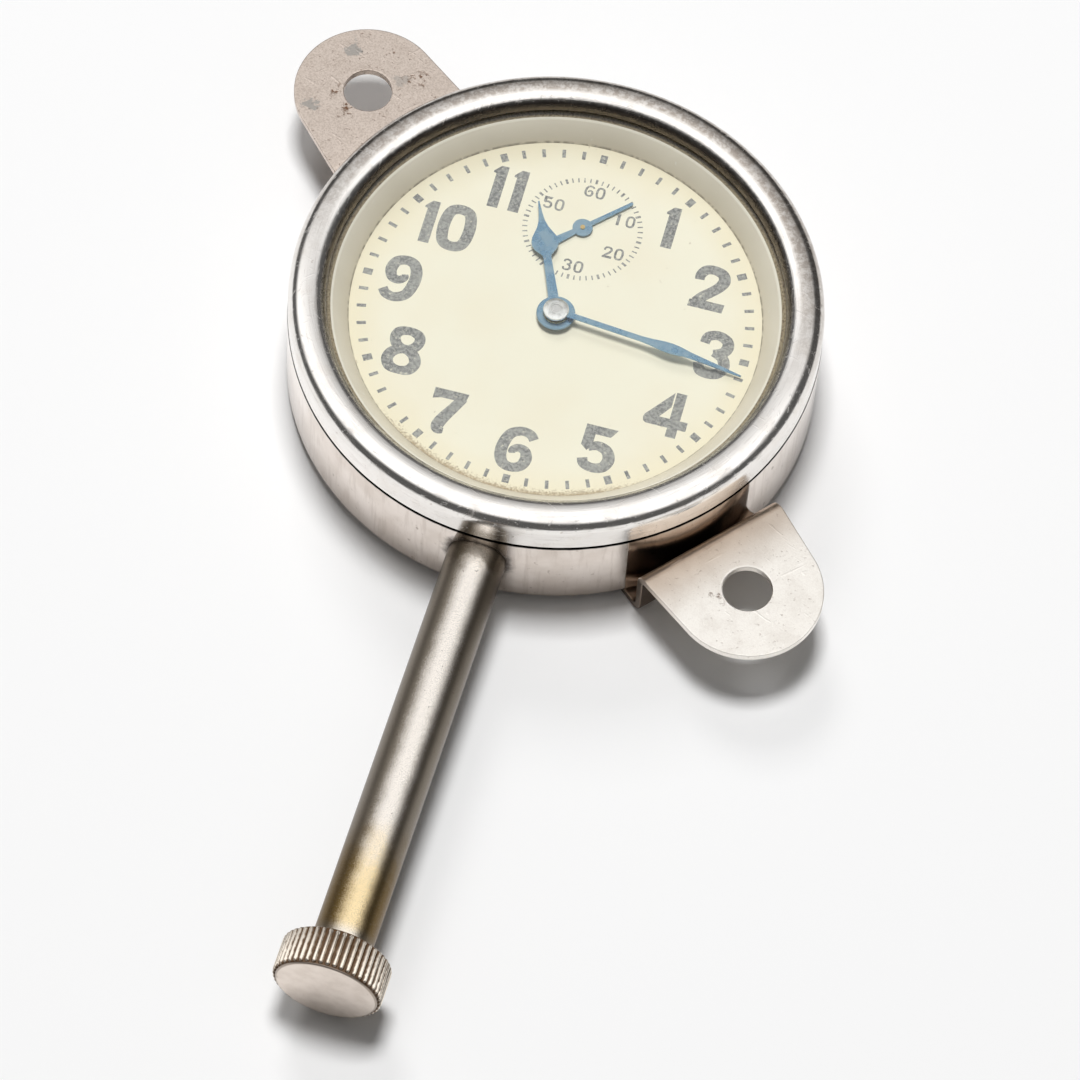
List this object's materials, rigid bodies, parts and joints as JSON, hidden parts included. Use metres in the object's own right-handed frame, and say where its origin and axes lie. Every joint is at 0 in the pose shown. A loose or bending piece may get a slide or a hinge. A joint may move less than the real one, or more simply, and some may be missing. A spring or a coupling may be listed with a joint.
{
  "type": "dashboard clock",
  "caption": "Round car dashboard clock with a half-round metal bezel, cream dial, small seconds dial, a long winding stem with a ridged knob and a bent strap with drilled ears.",
  "frame": {"origin": "on the dial axis at the underside of the mounting strap, which is what the clock lies on", "axes": "+Z out of the dial, -Y along the winding stem towards the knob, +X to the right seen from the front"},
  "size_m": [0.0978, 0.1528, 0.0214],
  "materials": {
    "nickel_case": "satin worn nickel plate",
    "nickel_bezel": "polished warm nickel with fine scratches",
    "crystal": "clear flat glass",
    "reflector": "matte silver grey",
    "strap_steel": "dull plated sheet with rust pits",
    "tube_nickel": "worn nickel over brass",
    "knob_nickel": "nickel with dirt between the ridges",
    "dial_face": "aged cream enamel paint",
    "blued_steel": "blued steel",
    "hand_steel": "polished steel",
    "movement_brass": "gilt brass",
    "wheel_brass": "bright brass",
    "steel_parts": "grey steel",
    "screw_steel": "dark steel screws",
    "spring_steel": "blued spring steel",
    "jewel": "red synthetic jewel"
  },
  "bodies": {
    "case": {"case_body": "nickel_case", "bezel": "nickel_bezel", "crystal": "crystal", "reflector_ring": "reflector", "mounting_strap": "strap_steel", "strap_rivets": "strap_steel", "stem_tube": "tube_nickel", "tube_locknut": "movement_brass", "tube_bushes": "movement_brass", "dial": "dial_face", "dial_foot_screws": "screw_steel", "movement_ring": "movement_brass", "case_screws": "screw_steel", "main_plate": "movement_brass", "back_plate": "movement_brass", "plate_pillars": "movement_brass", "pillar_screws": "screw_steel", "stem_block": "movement_brass", "pallet_cock": "movement_brass", "hairspring": "spring_steel", "hairspring_stud": "steel_parts", "balance_cock": "movement_brass", "balance_cock_screws": "screw_steel", "jewels": "jewel", "click_screw": "screw_steel", "click_spring": "spring_steel"},
    "minute_group": {"center_wheel": "wheel_brass", "cannon_pinion": "steel_parts", "minute_hand": "blued_steel", "hand_collet": "hand_steel"},
    "hour_group": {"hour_wheel": "wheel_brass", "hour_hand": "blued_steel"},
    "minute_wheel_group": {"minute_wheel": "wheel_brass"},
    "setting_group": {"setting_wheel": "wheel_brass"},
    "intermediate_group": {"intermediate_wheel": "wheel_brass"},
    "barrel_group": {"barrel": "movement_brass", "barrel_cover": "movement_brass", "mainspring": "spring_steel"},
    "third_group": {"third_wheel": "wheel_brass"},
    "seconds_group": {"fourth_wheel": "wheel_brass", "seconds_hand": "blued_steel"},
    "escape_group": {"escape_wheel": "steel_parts"},
    "stem_slide": {"setting_yoke": "steel_parts"},
    "stem_group": {"winding_rod": "steel_parts", "winding_knob": "knob_nickel", "clutch": "steel_parts", "setting_pinion": "steel_parts"},
    "winding_pinion_group": {"winding_pinion": "steel_parts"},
    "crown_group": {"crown_wheel": "steel_parts", "transfer_wheel": "steel_parts"},
    "ratchet_group": {"barrel_arbor": "steel_parts", "ratchet_wheel": "steel_parts", "ratchet_screw": "screw_steel"},
    "click_group": {"click": "steel_parts"},
    "pallet_group": {"pallet_fork": "steel_parts", "pallet_stones": "jewel"},
    "balance_group": {"balance_wheel": "wheel_brass", "balance_screws": "wheel_brass", "balance_staff": "steel_parts"},
    "regulator_group": {"regulator": "steel_parts"}
  },
  "joints": [
    {"name": "minute_turn", "type": "hinge", "parent": "case", "child": "minute_group", "pos_m": [0, 0, 0.008], "axis": [0, 0, -1], "continuous": true},
    {"name": "hour_turn", "type": "hinge", "parent": "case", "child": "hour_group", "pos_m": [0, 0, 0.014], "axis": [0, 0, -1], "continuous": true},
    {"name": "minute_wheel_turn", "type": "hinge", "parent": "case", "child": "minute_wheel_group", "pos_m": [0, -0.006, 0.013], "axis": [0, 0, -1], "continuous": true},
    {"name": "setting_wheel_turn", "type": "hinge", "parent": "case", "child": "setting_group", "pos_m": [0, -0.016, 0.012], "axis": [0, 0, -1], "continuous": true},
    {"name": "intermediate_turn", "type": "hinge", "parent": "case", "child": "intermediate_group", "pos_m": [-0.00954, 0.00506, 0.008], "axis": [0, 0, -1], "continuous": true},
    {"name": "barrel_turn", "type": "hinge", "parent": "case", "child": "barrel_group", "pos_m": [-0.0135, -0.00784, 0.008], "axis": [0, 0, -1], "continuous": true},
    {"name": "third_turn", "type": "hinge", "parent": "case", "child": "third_group", "pos_m": [0.00538, 0.00937, 0.008], "axis": [0, 0, -1], "continuous": true},
    {"name": "seconds_turn", "type": "hinge", "parent": "case", "child": "seconds_group", "pos_m": [-0.00051, 0.01549, 0.008], "axis": [0, 0, -1], "continuous": true},
    {"name": "escape_turn", "type": "hinge", "parent": "case", "child": "escape_group", "pos_m": [0.00634, 0.01945, 0.008], "axis": [0, 0, -1], "continuous": true},
    {"name": "knob_pull", "type": "slide", "parent": "case", "child": "stem_slide", "axis": [0, -1, 0], "range_m": [0, 0.002]},
    {"name": "knob_turn", "type": "hinge", "parent": "stem_slide", "child": "stem_group", "pos_m": [0, -0.06, 0.0095], "axis": [0, -1, 0], "continuous": true},
    {"name": "winding_pinion_turn", "type": "hinge", "parent": "case", "child": "winding_pinion_group", "pos_m": [0, -0.024, 0.0095], "axis": [0, -1, 0], "continuous": true},
    {"name": "crown_turn", "type": "hinge", "parent": "case", "child": "crown_group", "pos_m": [0, -0.0185, 0.006], "axis": [0, 0, 1], "continuous": true},
    {"name": "ratchet_turn", "type": "hinge", "parent": "case", "child": "ratchet_group", "pos_m": [-0.0135, -0.00784, 0.005], "axis": [0, 0, 1], "continuous": true},
    {"name": "click_rock", "type": "hinge", "parent": "case", "child": "click_group", "pos_m": [-0.02467, -0.00139, 0.003], "axis": [0, 0, 1], "range_deg": [0, 10], "stiffness_Nm_per_rad": 0.0002},
    {"name": "pallet_rock", "type": "hinge", "parent": "case", "child": "pallet_group", "pos_m": [0.01014, 0.01807, 0.008], "axis": [0, 0, 1], "range_deg": [-5, 5]},
    {"name": "balance_swing", "type": "hinge", "parent": "case", "child": "balance_group", "pos_m": [0.014, 0.01347, 0.006], "axis": [0, 0, 1], "range_deg": [-270, 270], "stiffness_Nm_per_rad": 0.000016},
    {"name": "regulator_turn", "type": "hinge", "parent": "case", "child": "regulator_group", "pos_m": [0.014, 0.01347, 0.0025], "axis": [0, 0, 1], "range_deg": [-20, 20]}
  ],
  "couplings": [
    {"joint": "hour_turn", "follows": "minute_turn", "ratio": 0.083333},
    {"joint": "minute_wheel_turn", "follows": "minute_turn", "ratio": -0.33333},
    {"joint": "setting_wheel_turn", "follows": "minute_turn", "ratio": 0.27273},
    {"joint": "intermediate_turn", "follows": "minute_turn", "ratio": -0.2},
    {"joint": "barrel_turn", "follows": "minute_turn", "ratio": 0.030769},
    {"joint": "third_turn", "follows": "minute_turn", "ratio": -8},
    {"joint": "seconds_turn", "follows": "minute_turn", "ratio": 60},
    {"joint": "escape_turn", "follows": "minute_turn", "ratio": -600},
    {"joint": "winding_pinion_turn", "follows": "knob_turn", "ratio": 1},
    {"joint": "crown_turn", "follows": "knob_turn", "ratio": 0.33333},
    {"joint": "ratchet_turn", "follows": "knob_turn", "ratio": -0.21795}
  ]
}
